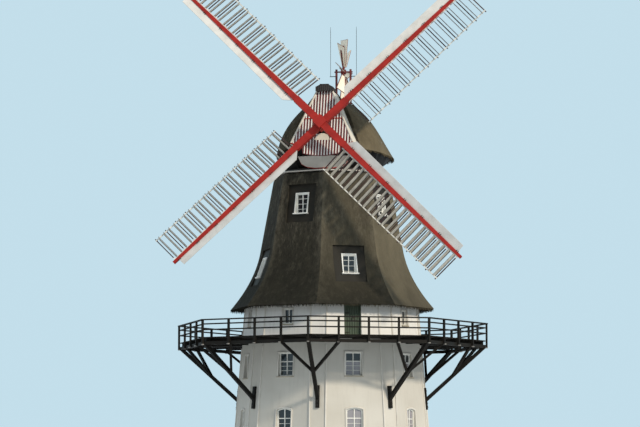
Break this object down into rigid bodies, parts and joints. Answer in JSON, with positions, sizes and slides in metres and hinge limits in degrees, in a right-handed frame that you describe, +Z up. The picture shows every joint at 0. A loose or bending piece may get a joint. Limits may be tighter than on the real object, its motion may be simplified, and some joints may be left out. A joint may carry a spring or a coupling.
{
  "type": "gallery smock windmill",
  "caption": "Gallery smock mill: white octagonal base, railed gallery on struts, flared thatched smock, turning thatched cap with four shuttered sails and a fantail.",
  "frame": {"origin": "centre of the tower at ground level", "axes": "+Z up; the sails look along -Y; +X to the right as seen from the front"},
  "size_m": [18.654, 18.1574, 30.3288],
  "materials": {
    "brick": "white painted brick",
    "concrete_sill": "grey painted sill",
    "floor_board": "plain boards",
    "white_frame": "white paint",
    "glass": "dark window glass",
    "door_paint": "brown paint",
    "thatch": "weathered reed thatch",
    "tarred_board": "tarred boards",
    "oak": "bare oak",
    "grey_deck": "weathered boards",
    "white_timber": "white paint",
    "iron": "dark painted iron",
    "striped_board": "boards painted in red and white stripes",
    "cream_board": "cream paint",
    "hood_board": "dark paint",
    "red_timber": "red paint",
    "dark_lattice": "dark red-brown paint",
    "cream_paint": "cream paint",
    "fan_paint": "red paint"
  },
  "bodies": {
    "tower": {"base_walls_odd": "brick", "base_walls_even": "brick", "storey_floors": "floor_board", "window_frames": "white_frame", "window_sills": "concrete_sill", "window_glass": "glass", "door_frames": "door_paint", "doors": "door_paint", "smock_thatch_odd": "thatch", "smock_thatch_even": "thatch", "smock_window_panels": "tarred_board", "smock_window_casings": "white_frame", "smock_window_sashes": "white_frame", "smock_window_glass": "glass", "smock_posts": "oak", "gallery_deck": "grey_deck", "gallery_joists": "grey_deck", "gallery_ring_beams": "grey_deck", "strut_wall_posts": "white_timber", "gallery_struts": "white_timber", "gallery_side_braces": "white_timber", "railing_posts": "white_timber", "railing_rails": "white_timber", "curb_ring": "oak", "curb_cover": "white_timber"},
    "cap": {"cap_sheers": "oak", "cap_soffit": "tarred_board", "cap_thatch": "thatch", "cheek_gussets": "cream_board", "chin": "white_timber", "fan_girts": "white_timber", "fan_posts": "white_timber", "fan_rakers": "white_timber", "gable_boards": "striped_board", "gable_cheeks": "cream_board", "hood": "hood_board", "lightning_rods": "iron", "neck_panel": "cream_board", "neck_posts": "oak", "rear_gable": "white_timber", "shaft_beams": "oak", "shaft_bearings": "oak", "turning_ring": "iron"},
    "sails": {"stocks": "red_timber", "poll_end": "iron", "windshaft": "iron", "sail_lattice_1": "dark_lattice", "sail_lattice_2": "dark_lattice", "sail_lattice_3": "dark_lattice", "sail_lattice_4": "dark_lattice", "leading_boards": "cream_paint", "sail_shutters": "cream_paint"},
    "fan": {"fan_hub": "iron", "fan_boards": "fan_paint"}
  },
  "joints": [
    {"name": "cap_yaw", "type": "hinge", "parent": "tower", "child": "cap", "pos_m": [0, 0, 18.573], "axis": [0, 0, 1], "continuous": true},
    {"name": "sails_turn", "type": "hinge", "parent": "cap", "child": "sails", "pos_m": [0, -4.35, 21.2], "axis": [0, -0.9781, 0.2079], "continuous": true},
    {"name": "fan_turn", "type": "hinge", "parent": "cap", "child": "fan", "pos_m": [0, 5.15, 25.57], "axis": [1, 0, 0], "continuous": true}
  ]
}
